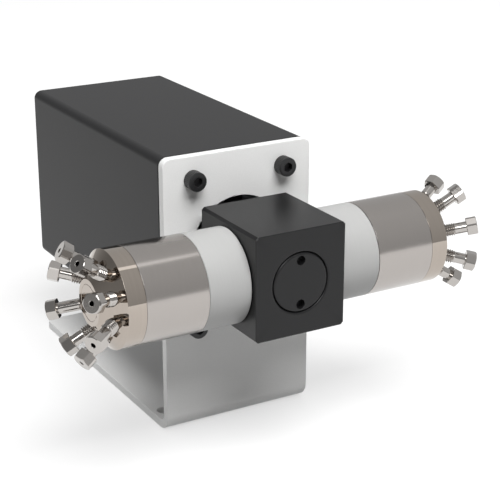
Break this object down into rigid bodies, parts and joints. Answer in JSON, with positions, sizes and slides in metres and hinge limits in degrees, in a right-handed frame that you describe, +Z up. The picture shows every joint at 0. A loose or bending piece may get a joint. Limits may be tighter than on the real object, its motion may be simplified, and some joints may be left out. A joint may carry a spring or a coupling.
{
  "type": "column selector valve",
  "caption": "Motor-driven pair of rotary selector valves on an L-shaped bracket, with ring-set tube nuts on coned ends.",
  "frame": {"origin": "on the surface the bracket stands on, midway between its sides and 56.5 mm behind its front face", "axes": "+Z up, +Y from the valves to the rear panel with its connectors, +X along the valves' common axis to the right valve"},
  "size_m": [0.1556, 0.166, 0.104],
  "materials": {
    "white_powder_coat": "satin white powder coat",
    "black_screws": "black oxide",
    "black_paint": "satin black paint",
    "machined_aluminium": "machined",
    "black_anodised": "black anodised",
    "black_plastic": "matt",
    "green_board": "solder resist",
    "white_plastic": "matt",
    "bright_steel": "turned and polished",
    "warm_steel": "turned",
    "spring_steel": "phosphated",
    "brass": "machined",
    "valve_polymer": "machined"
  },
  "bodies": {
    "root": {"bracket": "white_powder_coat", "bracket_screw_1": "black_screws", "bracket_screw_2": "black_screws", "bracket_screw_3": "black_screws", "bracket_screw_4": "black_screws", "actuator_cover": "black_paint", "actuator_front_plate": "machined_aluminium", "position_sensor": "black_plastic", "hub": "black_anodised", "gearhead": "machined_aluminium", "motor": "black_paint", "rear_panel": "black_paint", "control_board": "green_board", "serial_connector": "machined_aluminium", "power_jack": "black_plastic", "gear_block": "black_anodised", "bearing_plug": "black_anodised", "front_bearing": "bright_steel", "rear_bearing": "bright_steel", "left_shaft_bearing": "bright_steel", "left_spacer": "white_plastic", "left_barrel": "bright_steel", "left_stator": "warm_steel", "left_thrust_bearing": "bright_steel", "left_disc_springs": "spring_steel", "left_tube_nut_1": "bright_steel", "left_tube_nut_2": "bright_steel", "left_tube_nut_3": "bright_steel", "left_tube_nut_4": "bright_steel", "left_tube_nut_5": "bright_steel", "left_tube_nut_6": "bright_steel", "left_tube_nut_7": "bright_steel", "left_tube_nut_8": "bright_steel", "right_shaft_bearing": "bright_steel", "right_spacer": "white_plastic", "right_barrel": "bright_steel", "right_stator": "warm_steel", "right_thrust_bearing": "bright_steel", "right_disc_springs": "spring_steel", "right_tube_nut_1": "bright_steel", "right_tube_nut_2": "bright_steel", "right_tube_nut_3": "bright_steel", "right_tube_nut_4": "bright_steel", "right_tube_nut_5": "bright_steel", "right_tube_nut_6": "bright_steel", "right_tube_nut_7": "bright_steel", "right_tube_nut_8": "bright_steel"},
    "drive": {"input_shaft": "bright_steel", "input_gear": "brass", "shaft_coupling": "machined_aluminium", "encoder_disc": "bright_steel", "gearhead_shaft": "bright_steel"},
    "left_output": {"left_output_shaft": "bright_steel", "left_output_gear": "brass", "left_driver": "bright_steel", "left_rotor": "valve_polymer"},
    "right_output": {"right_output_shaft": "bright_steel", "right_output_gear": "brass", "right_driver": "bright_steel", "right_rotor": "valve_polymer"}
  },
  "joints": [
    {"name": "drive_turn", "type": "hinge", "parent": "root", "child": "drive", "pos_m": [0, -0.0803, 0.0679], "axis": [0, 1, 0], "continuous": true},
    {"name": "left_valve_turn", "type": "hinge", "parent": "root", "child": "left_output", "pos_m": [0, -0.0803, 0.0679], "axis": [-1, 0, 0], "continuous": true},
    {"name": "right_valve_turn", "type": "hinge", "parent": "root", "child": "right_output", "pos_m": [0, -0.0803, 0.0679], "axis": [1, 0, 0], "continuous": true}
  ],
  "couplings": [
    {"joint": "left_valve_turn", "follows": "drive_turn", "ratio": -1},
    {"joint": "right_valve_turn", "follows": "drive_turn", "ratio": -1}
  ]
}
